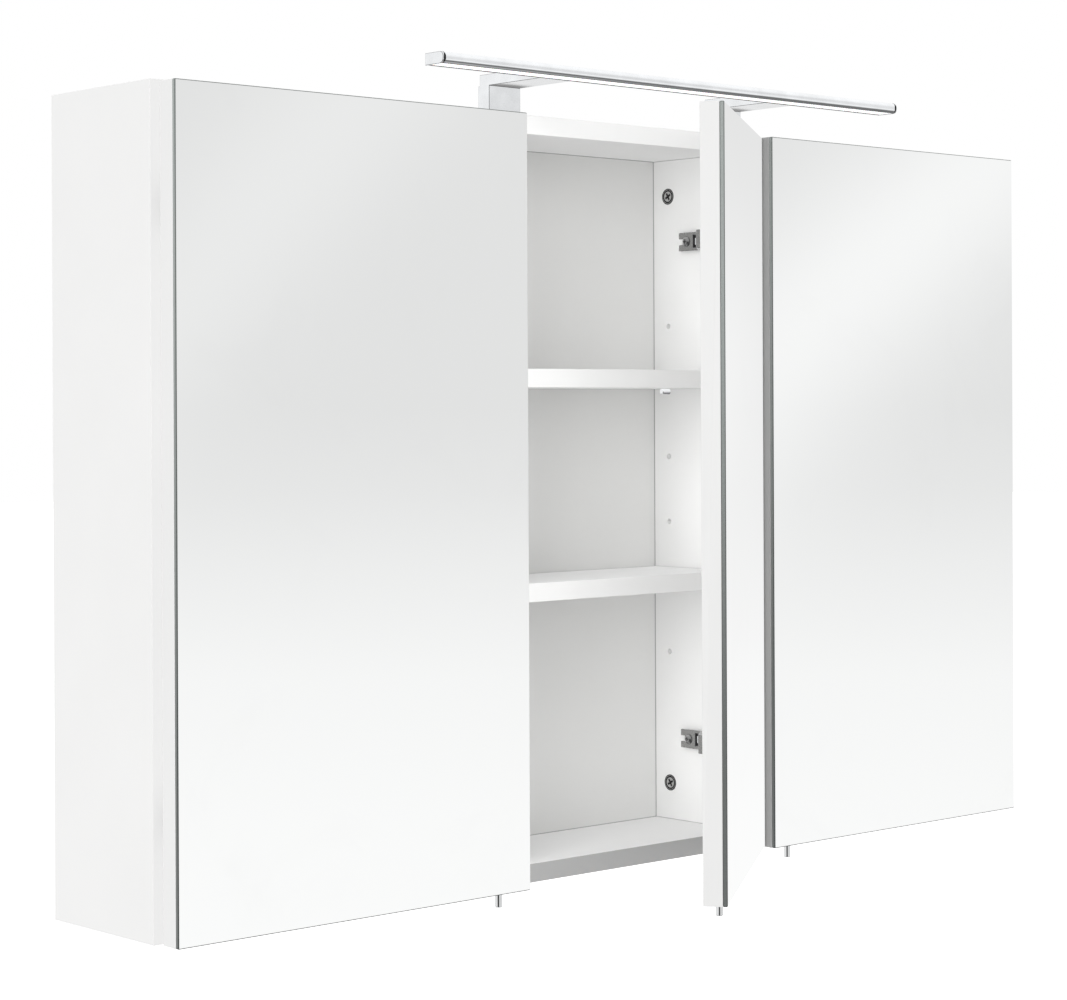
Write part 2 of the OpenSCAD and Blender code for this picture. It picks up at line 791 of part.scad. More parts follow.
// The arm: a low tail on its plate, a cranked channel, and a nose that hooks round to the pin.
module hinge_arm(face_u) {
    tail_u = face_u + plate_t + arm_t / 2;
    difference() {
        union() {
            linear_extrude(nose_h, center = true)
                strip([[pivot_u, -pivot_v], [leg_u, -pivot_v], [leg_u, bend_v - nose_lap]]);
            translate([pivot_u, -pivot_v, 0]) cylinder(r = eye_r, h = nose_h, center = true);
            linear_extrude(arm_h, center = true)
                strip([[leg_u, cheek_v], [leg_u, bend_v], [tail_u, foot_v], [tail_u, tail_v - arm_t / 2]]);
            for (z = [-arm_h / 2, arm_h / 2 - cheek_t])
                translate([0, 0, z]) linear_extrude(cheek_t)
                    polygon([[face_u + plate_t, cheek_v], [leg_u, cheek_v], [leg_u, bend_v],
                             [tail_u, foot_v], [face_u + plate_t, foot_v]]);
        }
        translate([pivot_u, -pivot_v, 0])
            cylinder(d = pin_d + slip, h = nose_h + 2 * over, center = true);
        on_face(face_u, arm_screw_v) cylinder(d = tail_slot, h = slot_reach);
        block([face_u, arm_screw_v, -tail_slot / 2], [face_u + slot_reach, tail_v + over, tail_slot / 2]);
        block([face_u, arm_slot_v - arm_slot_w / 2, -arm_slot_h / 2],
              [face_u + slot_reach, arm_slot_v + arm_slot_w / 2, arm_slot_h / 2]);
    }
}

module hinge_arms_side() {
    color("silver") {
        at_left_hinges() hinge_arm(side_face_u);
        at_right_hinges() hinge_arm(side_face_u);
    }
}

module hinge_arms_centre() {
    color("silver") at_centre_hinges() hinge_arm(centre_face_u);
}

module arm_screw(face_u) {
    on_face(face_u, arm_screw_v) translate([0, 0, plate_t + arm_t]) 
        pan_screw(arm_screw_d, arm_screw_l, arm_head[0], arm_head[1]);
}

module hinge_arm_screws() {
    color("gray") {
        at_left_hinges() arm_screw(side_face_u);
        at_right_hinges() arm_screw(side_face_u);
        at_centre_hinges() arm_screw(centre_face_u);
    }
}

// The cup: a round pot let into the door, a flange with two screw ears, and lugs for the pin.
module hinge_cup() {
    difference() {
        union() {
            difference() {
                union() {
                    translate([cup_u, 0, 0]) rotate([90, 0, 0]) cylinder(d = cup_d, h = cup_depth);
                    translate([cup_u, flange_t, 0]) rotate([90, 0, 0])
                        cylinder(d = cup_d + 2 * flange_w, h = flange_t);
                    block([ear_u - ear_r, 0, -ear_z], [ear_u + ear_r, flange_t, ear_z]);
                    for (z = [-ear_z, ear_z])
                        translate([ear_u, flange_t, z]) rotate([90, 0, 0]) cylinder(r = ear_r, h = flange_t);
                }
                translate([cup_u, flange_t + over, 0]) rotate([90, 0, 0])
                    cylinder(d = cup_d - 2 * cup_wall, h = cup_depth + flange_t + over - cup_floor);
            }
            intersection() {
                translate([cup_u, 0, 0]) rotate([90, 0, 0]) cylinder(d = cup_d - cup_wall, h = cup_depth);
                for (z = [-lug_z - lug_t, lug_z])
                    block([pivot_u - lug_w / 2, -cup_depth, z],
                          [pivot_u + lug_w / 2, lug_rise - pivot_v, z + lug_t]);
            }
        }
        translate([pivot_u, -pivot_v, 0])
            cylinder(d = pin_d + slip / 2, h = 2 * (lug_z + lug_t + over), center = true);
        for (z = [-ear_z, ear_z])
            translate([ear_u, flange_t + over, z]) rotate([90, 0, 0])
                cylinder(d = cup_screw_d + slip, h = flange_t + 2 * over);
    }
}

module hinge_pin() {
    translate([pivot_u, -pivot_v, 0]) cylinder(d = pin_d, h = pin_l, center = true);
}

// The closing spring: three touching turns of wire round the pin on each side of the nose.
module hinge_spring() {
    for (side = [-1, 1])
        translate([pivot_u, -pivot_v, 0]) rotate_extrude()
            for (i = [1 : 3])
                translate([(pin_d + spring_wire) / 2 + 0.15, side * (nose_h / 2 + i * spring_pitch)])
                    circle(d = spring_wire);
}

module cup_screw_pair() {
    for (z = [-ear_z, ear_z])
        translate([ear_u, flange_t, z]) rotate([-90, 0, 0]) pan_screw(cup_screw_d, cup_screw_l, 6.6, 2);
}

// ---- doors ----

// Everything let into a door's board: cups, their screws and the knob's stud.
module door_drilling(w) {
    for (z = hinge_zs) {
        translate([cup_u, over, z]) rotate([90, 0, 0])
            cylinder(d = cup_d + slip, h = cup_depth + slip + over);
        for (dz = [-ear_z, ear_z])
            translate([ear_u, over, z + dz]) rotate([90, 0, 0])
                cylinder(d = cup_screw_d + slip, h = cup_screw_l - flange_t + tip_room + over);
    }
    translate([w - knob_inset, knob_v, door_z0 - over])
        cylinder(d = stud_d + slip, h = stud_l + tip_room + over);
}

module door_board(w) {
    color("white") difference() {
        block([0, -door_board_t, door_z0], [w, 0, door_z1]);
        door_drilling(w);
    }
}

module door_mirror(w) {
    color("lightcyan") block([0, -door_board_t - mirror_t, door_z0], [w, -door_board_t, door_z1]);
}

module door_knob(w) {
    color("silver") translate([w - knob_inset, knob_v, door_z0]) {
        cylinder(d = stud_d, h = stud_l);
        translate([0, 0, knob_rim - knob_l]) cylinder(d = knob_d, h = knob_l - knob_rim);
        translate([0, 0, -knob_l]) cylinder(d1 = knob_d - 2 * knob_rim, d2 = knob_d, h = knob_rim);
    }
}

module left_door() {
    translate([-body_w / 2, door_back_y, 0]) children();
}

module right_door() {
    mirror([1, 0, 0]) left_door() children();
}

// The middle door stands open: it is turned about its own hinge axis.
module centre_door() {
    translate([centre_edge_x - pivot_u, door_back_y - pivot_v, 0]) rotate(centre_open)
        translate([pivot_u, pivot_v, 0]) mirror([1, 0, 0]) children();
}

module per_hinge() {
    for (z = hinge_zs)
        translate([0, 0, z]) children();
}

module door_board_left() left_door() door_board(side_door_w);
module door_mirror_left() left_door() door_mirror(side_door_w);
module door_knob_left() left_door() door_knob(side_door_w);
module hinge_cups_left() color("silver") left_door() per_hinge() hinge_cup();
module hinge_pins_left() color("gray") left_door() per_hinge() hinge_pin();
module hinge_springs_left() color("dimgray") left_door() per_hinge() hinge_spring();
module cup_screws_left() color("silver") left_door() per_hinge() cup_screw_pair();

module door_board_centre() centre_door() door_board(centre_door_w);
module door_mirror_centre() centre_door() door_mirror(centre_door_w);
module door_knob_centre() centre_door() door_knob(centre_door_w);
module hinge_cups_centre() color("silver") centre_door() per_hinge() hinge_cup();
module hinge_pins_centre() color("gray") centre_door() per_hinge() hinge_pin();
module hinge_springs_centre() color("dimgray") centre_door() per_hinge() hinge_spring();
module cup_screws_centre() color("silver") centre_door() per_hinge() cup_screw_pair();

module door_board_right() right_door() door_board(side_door_w);
module door_mirror_right() right_door() door_mirror(side_door_w);
module door_knob_right() right_door() door_knob(side_door_w);
module hinge_cups_right() color("silver") right_door() per_hinge() hinge_cup();
module hinge_pins_right() color("gray") right_door() per_hinge() hinge_pin();
module hinge_springs_right() color("dimgray") right_door() per_hinge() hinge_spring();
module cup_screws_right() color("silver") right_door() per_hinge() cup_screw_pair();

side_panel_left();
side_panel_right();
top_panel();
bottom_panel();
divider_left();
divider_right();
back_sheet();
shelf_left_upper();
shelf_left_lower();
shelf_centre_upper();
shelf_centre_lower();
shelf_right_upper();
shelf_right_lower();
shelf_supports();
cam_locks();
cam_bolts();
wood_dowels();
hanger_plates();
hanger_screws();
lamp_housing();
lamp_diffuser();
lamp_end_cap_left();
lamp_end_cap_right();
lamp_led_board();
lamp_leds();
lamp_bracket_left();
lamp_bracket_right();
lamp_housing_screws();
lamp_bracket_screws();
lead_grommet();
lamp_driver();
driver_glands();
driver_screws();
hinge_plates();
hinge_plate_screws();
hinge_arms_side();
hinge_arms_centre();
hinge_arm_screws();
door_board_left();
door_mirror_left();
door_knob_left();
hinge_cups_left();
hinge_pins_left();
hinge_springs_left();
cup_screws_left();
door_board_centre();
door_mirror_centre();
door_knob_centre();
hinge_cups_centre();
hinge_pins_centre();
hinge_springs_centre();
cup_screws_centre();
door_board_right();
door_mirror_right();
door_knob_right();
hinge_cups_right();
hinge_pins_right();
hinge_springs_right();
cup_screws_right();
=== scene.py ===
import json
import math

import bmesh
import bpy
from mathutils import Matrix, Vector

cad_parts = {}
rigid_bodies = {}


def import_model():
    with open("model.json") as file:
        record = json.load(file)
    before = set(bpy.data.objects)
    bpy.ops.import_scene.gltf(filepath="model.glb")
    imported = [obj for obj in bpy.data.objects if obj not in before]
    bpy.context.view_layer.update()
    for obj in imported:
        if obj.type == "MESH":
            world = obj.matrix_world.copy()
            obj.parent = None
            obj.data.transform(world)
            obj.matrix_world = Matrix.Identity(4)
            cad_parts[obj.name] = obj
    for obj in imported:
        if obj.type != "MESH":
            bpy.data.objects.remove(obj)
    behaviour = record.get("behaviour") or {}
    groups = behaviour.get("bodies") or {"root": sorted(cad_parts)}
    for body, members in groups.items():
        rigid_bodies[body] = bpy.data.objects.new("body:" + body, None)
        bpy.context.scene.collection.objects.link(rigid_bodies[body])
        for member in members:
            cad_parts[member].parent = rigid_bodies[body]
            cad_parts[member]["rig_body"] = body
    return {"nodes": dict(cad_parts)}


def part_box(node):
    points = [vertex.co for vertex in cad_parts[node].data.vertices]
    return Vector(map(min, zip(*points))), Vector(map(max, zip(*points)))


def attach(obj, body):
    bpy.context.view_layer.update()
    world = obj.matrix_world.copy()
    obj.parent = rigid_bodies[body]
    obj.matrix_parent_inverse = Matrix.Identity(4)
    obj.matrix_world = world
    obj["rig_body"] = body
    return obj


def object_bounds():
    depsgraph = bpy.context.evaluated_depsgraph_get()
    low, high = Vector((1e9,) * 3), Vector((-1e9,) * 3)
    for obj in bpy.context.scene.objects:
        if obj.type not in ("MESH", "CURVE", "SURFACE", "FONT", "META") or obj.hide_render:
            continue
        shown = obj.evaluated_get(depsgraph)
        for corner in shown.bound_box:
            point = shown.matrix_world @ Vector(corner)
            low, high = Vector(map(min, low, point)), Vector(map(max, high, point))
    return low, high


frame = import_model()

# Looks of a wall-hung mirror cabinet with three doors and a lamp bar. Metres, in the row frame:
# X along the wall, Y = 0 is the wall, the doors face -Y, Z is up.
NODES = frame["nodes"]
MM = 0.001
cad_low, cad_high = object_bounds()


# ---- node graphs -----------------------------------------------------------------------------------------

class Graph:
    """One material's node tree, with short calls for the nodes that repeat."""

    def __init__(self, name):
        self.material = bpy.data.materials.new(name)
        self.material.use_nodes = True
        self.tree = self.material.node_tree
        self.tree.nodes.clear()
        self.shader = self.node("ShaderNodeBsdfPrincipled")
        output = self.node("ShaderNodeOutputMaterial")
        self.tree.links.new(self.shader.outputs[0], output.inputs["Surface"])
        self.coords = self.node("ShaderNodeTexCoord")

    def node(self, kind, **settings):
        made = self.tree.nodes.new(kind)
        for key, value in settings.items():
            setattr(made, key, value)
        return made

    def put(self, socket, value):
        if isinstance(value, bpy.types.NodeSocket):
            self.tree.links.new(value, socket)
        elif value is not None:
            socket.default_value = value

    def set(self, **values):
        """Values or links for the shader's sockets; an underscore stands for a space."""
        for key, value in values.items():
            self.put(self.shader.inputs[key.replace("_", " ")], value)

    def math(self, operation, *values):
        made = self.node("ShaderNodeMath", operation=operation)
        for socket, value in zip(made.inputs, values):
            self.put(socket, value)
        return made.outputs[0]

    def noise(self, scale, detail=2.0, roughness=0.5, vector=None, distortion=0.0):
        made = self.node("ShaderNodeTexNoise")
        self.put(made.inputs["Vector"], vector or self.coords.outputs["Object"])
        self.put(made.inputs["Scale"], scale)
        self.put(made.inputs["Detail"], detail)
        self.put(made.inputs["Roughness"], roughness)
        self.put(made.inputs["Distortion"], distortion)
        return made.outputs["Fac"]

    def span(self, value, from_low, from_high, to_low, to_high, smooth=False):
        """Maps one range of values onto another and holds the ends."""
        made = self.node("ShaderNodeMapRange", interpolation_type="SMOOTHSTEP" if smooth else "LINEAR")
        for key, x in (("Value", value), ("From Min", from_low), ("From Max", from_high),
                       ("To Min", to_low), ("To Max", to_high)):
            self.put(made.inputs[key], x)
        return made.outputs[0]

    def mix(self, factor, a, b):
        """Colour a where the factor is 0 and b where it is 1."""
        made = self.node("ShaderNodeMix", data_type="RGBA")
        self.put(made.inputs[0], factor)
        self.put(made.inputs[6], a)
        self.put(made.inputs[7], b)
        return made.outputs[2]

    def stretch(self, scale):
        """Object coordinates stretched by a factor along each axis."""
        made = self.node("ShaderNodeMapping")
        self.put(made.inputs["Vector"], self.coords.outputs["Object"])
        made.inputs["Scale"].default_value = scale
        return made.outputs[0]

    def along(self, direction):
        """How far a point lies along a direction."""
        return self.dot("Object", direction)

    def facing(self, direction):
        """1 where the surface faces a direction, 0 at right angles to it."""
        return self.dot("Normal", direction)

    def dot(self, coordinate, direction):
        made = self.node("ShaderNodeVectorMath", operation="DOT_PRODUCT")
        self.put(made.inputs[0], self.coords.outputs[coordinate])
        made.inputs[1].default_value = direction
        return made.outputs["Value"]

    def axes(self):
        made = self.node("ShaderNodeSeparateXYZ")
        self.put(made.inputs[0], self.coords.outputs["Object"])
        return made.outputs

    def bump(self, height, strength, distance, normal=None):
        made = self.node("ShaderNodeBump")
        self.put(made.inputs["Height"], height)
        self.put(made.inputs["Strength"], strength)
        self.put(made.inputs["Distance"], distance)
        self.put(made.inputs["Normal"], normal)
        return made.outputs[0]

    def crevice(self, reach):
        """1 in the open and lower in narrow inner corners."""
        made = self.node("ShaderNodeAmbientOcclusion", samples=8)
        made.inputs["Distance"].default_value = reach
        return made.outputs["AO"]


def rgb(r, g, b):
    return (r, g, b, 1.0)


def scaled(color, k):
    return rgb(*(min(1.0, c * k) for c in color[:3]))


# ---- materials -------------------------------------------------------------------------------------------

NOISE_MIDDLE = (0.3, 0.7)          # where most of a noise texture's values lie
SEAM_CORE, SEAM_FADE = 0.35 * MM, 0.75 * MM
# How far the crevice node reaches for the melamine's painted shade in inner corners.
CORNER_SHADE_REACH = 2.2 * MM
DEEP_BLACK = rgb(0.012, 0.012, 0.012)
SILVER, HAZED_SILVER = rgb(0.965, 0.972, 0.968), rgb(0.950, 0.956, 0.953)
GROUND_GLASS = (rgb(0.30, 0.325, 0.315), rgb(0.40, 0.43, 0.42))
ARRIS_GLASS = (rgb(0.11, 0.125, 0.12), rgb(0.19, 0.21, 0.20))
GLASS_DARK_BELOW, GLASS_LIGHT_ABOVE, GLASS_DARK_TONE = -0.50, 0.02, 0.38
PLASTIC_IOR, GLASS_IOR = 1.5, 1.52


def melamine(name, color, roughness=0.36, pearl=1.0, seams=(), seam_side=None, band=None,
             edge_shade_tone=0.55):
    """White melamine film: a fine pearled surface, faint mottling, painted shade in the inner corners, and a
    hairline wherever two boards meet; each seam is (direction, distance along it), and only faces towards
    'seam_side' have it if that is given. The edge that faces 'band' has painted shade, a greyer tone."""
    g = Graph(name)
    mottle = g.noise(7.0, 3.0)
    pearls = g.noise(1100.0, 2.0, 0.6)
    fine = g.noise(3200.0, 1.0)
    tone = g.mix(g.span(mottle, *NOISE_MIDDLE, 0.0, 1.0), scaled(color, 0.985), scaled(color, 1.012))
    # Painted shade in the inner corners, from the crevice node; the seams' hairlines join it below.
    corner_shade_and_seams = g.math("MULTIPLY", g.span(g.crevice(CORNER_SHADE_REACH), 0.35, 0.8, 1.0, 0.0, smooth=True), 0.5)
    inner = g.span(g.facing(seam_side), 0.5, 0.9, 0.0, 1.0) if seam_side else 1.0
    for direction, distance in seams:
        away = g.math("ABSOLUTE", g.math("SUBTRACT", g.along(direction), distance))
        line = g.math("MULTIPLY", g.span(away, SEAM_CORE, SEAM_FADE, 1.0, 0.0, smooth=True), inner)
        corner_shade_and_seams = g.math("MAXIMUM", corner_shade_and_seams, line)
    # Painted shade: the edge that faces 'band' is mixed towards a greyer tone.
    if band:
        edge = g.span(g.facing(band), 0.7, 0.95, 0.0, 1.0)
        tone = g.mix(edge, tone, scaled(color, edge_shade_tone))
    g.set(Base_Color=g.mix(corner_shade_and_seams, tone, scaled(color, 0.5)),
          Roughness=g.span(g.noise(4.0, 2.0), *NOISE_MIDDLE, roughness - 0.015, roughness + 0.02),
          Normal=g.bump(fine, 0.10 * pearl, 0.02 * MM, g.bump(pearls, 0.35 * pearl, 0.05 * MM)),
          IOR=PLASTIC_IOR)
    return g.material


def turned_rings(g, tone, color, rings):
    """A cam's face: a tone beyond each inner radius in 'rings', and painted shade, black, below the divider's
    face.
    """
    x, y, z = g.axes()
    heights = [g.math("ABSOLUTE", g.math("SUBTRACT", z, height)) for height in CAM_HEIGHTS]
    radius = g.math("POWER", g.math("ADD", g.math("POWER", g.math("MINIMUM", *heights), 2.0),
                                    g.math("POWER", g.math("SUBTRACT", y, CAM_DEPTH), 2.0)), 0.5)
    half_step = 0.1
    for inner, level in rings:
        beyond = g.span(radius, (inner - half_step) * MM, (inner + half_step) * MM, 0.0, 1.0)
        tone = g.mix(beyond, tone, scaled(color, level))
    inside = g.math("ABSOLUTE", x)
    # Painted shade: black where the cam lies below the divider's face.
    shade_below_face = g.math("MULTIPLY", g.span(inside, CAM_FACE + 0.2 * MM, CAM_FACE + 0.4 * MM, 0.0, 1.0),
                  g.span(inside, CAM_FACE + 20 * MM, CAM_FACE + 21 * MM, 1.0, 0.0))
    return g.mix(shade_below_face, tone, rgb(0.01, 0.01, 0.01))


def metal(name, color, roughness, grain=0.0, direction=(1, 1, 1), worn=0.05, scratch=0.0, recess=0.0,
          under=False, rings=()):
    """Plated metal: a tone that shifts slightly, fine handling marks, a grain along one direction, painted
    shade (black) in recesses narrower than 'recess' (only on undersides, whose reflection it darkens too, if
    'under'), and, for the cams, turned rings (inner radius in mm, tone)."""
    g = Graph(name)
    shift = g.noise(60.0, 4.0, 0.6)
    tone = g.mix(g.span(shift, *NOISE_MIDDLE, 0.0, 1.0), scaled(color, 0.93), scaled(color, 1.05))
    if rings:
        tone = turned_rings(g, tone, color, rings)
    if recess:
        # Painted shade: black in recesses; with 'under', only on downward faces, whose reflection is darkened
        # too.
        closed, clear, least = (0.62, 0.97, 0.15) if under else (0.45, 0.88, 0.0)
        shade = g.span(g.crevice(recess), closed, clear, 1.0, least, smooth=True)
        if under:
            shade = g.math("MULTIPLY", shade, g.span(g.facing((0, 0, -1)), 0.5, 0.9, 0.0, 0.9))
            g.set(Specular_Tint=g.mix(shade, rgb(1.0, 1.0, 1.0), rgb(0.35, 0.35, 0.35)))
        tone = g.mix(shade, tone, DEEP_BLACK)
    g.set(Base_Color=tone,
          Metallic=1.0,
          Roughness=g.span(g.noise(420.0, 3.0, 0.65), *NOISE_MIDDLE, max(0.02, roughness - worn),
                           roughness + worn))
    normal = None
    if grain:
        normal = g.bump(g.noise(1.0, 2.0, 0.6, vector=g.stretch(direction)), grain, 0.02 * MM)
    if scratch:
        marks = g.noise(900.0, 1.0, 0.5, distortion=1.5)
        normal = g.bump(g.span(marks, 0.62, 0.7, 0.0, 1.0), scratch, 0.01 * MM, normal)
    g.set(Normal=normal)
    return g.material


def plastic(name, color, roughness, texture=900.0, strength=0.3, depth=0.05, **extra):
    """Moulded plastic or rubber with a fine erosion texture, whose depth is in mm."""
    g = Graph(name)
    tone = g.span(g.noise(30.0, 3.0), *NOISE_MIDDLE, 0.0, 1.0)
    g.set(Base_Color=g.mix(tone, scaled(color, 0.95), scaled(color, 1.04)),
          Roughness=g.span(g.noise(120.0, 3.0), *NOISE_MIDDLE, roughness - 0.05, roughness + 0.05),
          Normal=g.bump(g.noise(texture, 2.0, 0.6), strength, depth * MM), **extra)
    return g.material


def deepen(g, color):
    """The colour of a glass edge, deeper towards the foot of the door where less light enters the pane."""
    foot = g.span(g.axes()["Z"], GLASS_DARK_BELOW, GLASS_LIGHT_ABOVE, 1.0, 0.0, smooth=True)
    return g.mix(foot, color, scaled(color, GLASS_DARK_TONE))


def mirror_glass(name, outward):
    """Silvered float glass, faintly hazed, seen from the front; ground edges where the face turns away from
    'outward'. The silvered face is perfectly smooth, so that the world can tell its rays from chrome's."""
    g = Graph(name)
    face = g.span(g.facing(outward), 0.9, 0.99, 0.0, 1.0)
    smudge = g.span(g.noise(9.0, 5.0, 0.6, distortion=0.6), 0.52, 0.8, 0.0, 1.0, smooth=True)
    ground = g.noise(1500.0, 2.0, 0.6)
    silver = g.mix(smudge, SILVER, HAZED_SILVER)
    edge = g.mix(g.span(ground, *NOISE_MIDDLE, 0.0, 1.0), *(deepen(g, c) for c in GROUND_GLASS))
    g.set(Base_Color=g.mix(face, edge, silver),
          Metallic=face,
          Roughness=g.span(face, 0.0, 1.0, 0.30, 0.0),
          Normal=g.bump(g.math("MULTIPLY", ground, g.span(face, 0.0, 1.0, 1.0, 0.0)), 0.4, 0.05 * MM),
          IOR=GLASS_IOR)
    return g.material


def arris(name):
    """The narrow ground bevel round the glass: dark green-grey, satin."""
    g = Graph(name)
    ground = g.noise(2200.0, 2.0, 0.6)
    g.set(Base_Color=g.mix(ground, *(deepen(g, c) for c in ARRIS_GLASS)),
          Roughness=g.span(ground, *NOISE_MIDDLE, 0.25, 0.42),
          Normal=g.bump(ground, 0.3, 0.04 * MM), IOR=GLASS_IOR)
    return g.material


def beech(name):
    """Raw beech with its grain along X."""
    g = Graph(name)
    rings = g.noise(1.0, 5.0, 0.6, vector=g.stretch((70.0, 900.0, 900.0)), distortion=0.4)
    tone = g.span(rings, *NOISE_MIDDLE, 0.0, 1.0)
    g.set(Base_Color=g.mix(tone, rgb(0.55, 0.36, 0.20), rgb(0.74, 0.55, 0.35)),
          Roughness=0.6, Normal=g.bump(rings, 0.4, 0.1 * MM))
    return g.material


def opal(name):
    """Opal acrylic: light passes and scatters, and the surface is satin."""
    g = Graph(name)
    tone = g.span(g.noise(40.0, 3.0), *NOISE_MIDDLE, 0.0, 1.0)
    g.set(Base_Color=g.mix(tone, rgb(0.94, 0.95, 0.95), rgb(0.97, 0.975, 0.97)),
          Roughness=g.span(g.noise(200.0, 3.0), *NOISE_MIDDLE, 0.22, 0.32),
          Subsurface_Weight=0.6, Subsurface_Scale=0.002,
          Emission_Color=rgb(1.0, 1.0, 1.0), Emission_Strength=0.6,
          Normal=g.bump(g.noise(1500.0, 2.0), 0.12, 0.03 * MM))
    return g.material


# Where the cams and the boards' faces are, from the CAD model; the cams' heights repeat part.scad's.
locks_low, locks_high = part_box("cam_locks")
CAM_HEIGHTS = (0.010, -0.540)
CAM_DEPTH = (locks_low.y + locks_high.y) / 2
CAM_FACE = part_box("divider_right")[0].x
SHEET_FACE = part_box("back_sheet")[0].y
FLOOR_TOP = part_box("bottom_panel")[1].z
ROOF_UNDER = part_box("top_panel")[0].z
CORNERS = [((0, 0, 1), FLOOR_TOP), ((0, 0, 1), ROOF_UNDER)]

WHITE = rgb(0.885, 0.885, 0.88)
DOOR_WHITE = rgb(0.85, 0.85, 0.845)
SHEET_WHITE = rgb(0.875, 0.875, 0.865)
m_board = melamine("melamine_white", WHITE)
# Painted shade on the bottom board's front edge.
m_bottom = melamine("melamine_bottom", WHITE, band=(0, -1, 0), edge_shade_tone=0.42)
m_divider = melamine("melamine_divider", WHITE, seams=CORNERS + [((0, 1, 0), SHEET_FACE)])
m_door = melamine("melamine_door", DOOR_WHITE, 0.34)
# Painted shade on the right door's left edge, where the open centre door shades it.
m_door_right = melamine("melamine_door_right", DOOR_WHITE, 0.34, band=(-1, 0, 0))
m_black_strip = plastic("black_lamp_strip", rgb(0.010, 0.010, 0.010), 0.5, Specular_IOR_Level=0.12)
m_sheet = melamine("hardboard_white", SHEET_WHITE, 0.30, 0.6,
                   seams=CORNERS + [((1, 0, 0), x) for x in (CAM_FACE, -CAM_FACE)], seam_side=(0, -1, 0))
m_chrome = metal("chrome", rgb(0.86, 0.87, 0.88), 0.06, scratch=0.15, worn=0.03)
m_knob = metal("knob_chrome", rgb(0.66, 0.665, 0.67), 0.06, scratch=0.1, worn=0.02)
LAMP_CHROME = dict(color=rgb(0.90, 0.915, 0.93), roughness=0.10, grain=0.05, direction=(4.0, 2500.0, 2500.0),
                   worn=0.03)
m_housing = metal("housing_chrome", **LAMP_CHROME)
m_lamp = metal("lamp_chrome", **LAMP_CHROME)
# 'recess' paints shade: under the bracket arms, and in the recesses of the hinges, screw heads and cams.
m_bracket = metal("bracket_chrome", **LAMP_CHROME, recess=26.0 * MM, under=True)
m_hinge = metal("hinge_nickel", rgb(0.25, 0.25, 0.245), 0.26, grain=0.25, direction=(900.0, 60.0, 900.0),
                worn=0.06, scratch=0.2, recess=5.0 * MM)
m_head = metal("screw_head", rgb(0.26, 0.26, 0.26), 0.20, scratch=0.2, recess=3.0 * MM)
m_trim = metal("dark_chrome", rgb(0.10, 0.10, 0.105), 0.22, scratch=0.1)
m_zinc = metal("zinc_steel", rgb(0.60, 0.61, 0.62), 0.30, scratch=0.35, worn=0.1)
m_pin = metal("pin_steel", rgb(0.55, 0.55, 0.56), 0.18, scratch=0.2)
m_spring = metal("spring_steel", rgb(0.24, 0.24, 0.25), 0.26, scratch=0.2)
m_cam = metal("cam_nickel", rgb(0.37, 0.37, 0.365), 0.34, scratch=0.3, worn=0.08, recess=3.2 * MM,
              rings=((4.7, 0.12), (5.4, 1.5), (6.5, 0.04)))
m_ring = plastic("black_rubber", rgb(0.018, 0.018, 0.018), 0.6)
m_case = plastic("driver_case", rgb(0.78, 0.78, 0.76), 0.45, 1400.0, 0.4, 0.08)
m_opal = opal("opal_acrylic")
m_board_led = plastic("led_board", rgb(0.80, 0.82, 0.80), 0.35, 500.0, 0.1, 0.02)
m_chip = plastic("led_chip", rgb(0.85, 0.72, 0.18), 0.35, 2500.0, 0.2, 0.03)
m_beech = beech("beech")
m_arris = arris("glass_arris")

CENTRE_OPEN = math.radians(37.0)
OUTWARD = {"left": (0, -1, 0), "right": (0, -1, 0),
           "centre": (math.sin(CENTRE_OPEN), -math.cos(CENTRE_OPEN), 0)}

# The longest of these that a node's name starts with gives its material.
LOOK = {
    "side_panel": m_board, "top_panel": m_board, "bottom_panel": m_bottom, "divider": m_divider,
    "shelf_left": m_board, "shelf_centre": m_board, "shelf_right": m_board, "back_sheet": m_sheet,
    "shelf_supports": m_chrome, "cam_locks": m_cam, "cam_bolts": m_zinc, "wood_dowels": m_beech,
    "hanger": m_zinc, "lamp_housing_screws": m_zinc, "lamp_bracket_screws": m_zinc,
    "lamp_housing": m_housing, "lamp_end_cap": m_lamp, "lamp_bracket": m_bracket,
    "lamp_diffuser": m_opal, "lamp_led_board": m_board_led, "lamp_leds": m_chip, "lead_grommet": m_ring,
    "lamp_driver": m_case, "driver_glands": m_ring, "driver_screws": m_zinc, "hinge_plate_screws": m_zinc,
    "hinge_plates": m_hinge, "hinge_arms": m_hinge, "hinge_arm_screws": m_head, "hinge_cups": m_hinge,
    "hinge_pins": m_pin, "hinge_springs": m_spring, "cup_screws": m_zinc, "door_board": m_door,
    "door_board_right": m_door_right, "door_knob": m_knob,
}
BOARDS = ("side_panel", "top_panel", "bottom_panel", "divider", "shelf_left", "shelf_centre", "shelf_right",
          "door_board")
TRIMMED = ("lamp_bracket_l", "lamp_bracket_r", "lamp_end_cap", "hinge_arms")
BOARD_EDGE, TRIM_EDGE, GLASS_EDGE = 0.35 * MM, 0.3 * MM, 0.7 * MM
SHARP_ANGLE = math.radians(35.0)


def paint(obj, *materials):
    obj.data.materials.clear()
    for m in materials:
        obj.data.materials.append(m)


def soften(obj, width, segments=2, edge_material=-1):
    """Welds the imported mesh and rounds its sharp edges, with the material of that slot on the rounding."""
    weld = obj.modifiers.new("weld", "WELD")
    weld.merge_threshold = 0.01 * MM
    bevel = obj.modifiers.new("edges", "BEVEL")
    bevel.width = width
    bevel.segments = segments
    bevel.limit_method = "ANGLE"
    bevel.angle_limit = SHARP_ANGLE
    bevel.loop_slide = False
    bevel.use_clamp_overlap = False
    bevel.miter_outer = "MITER_ARC" if segments > 1 else "MITER_SHARP"
    bevel.harden_normals = False
    bevel.material = edge_material


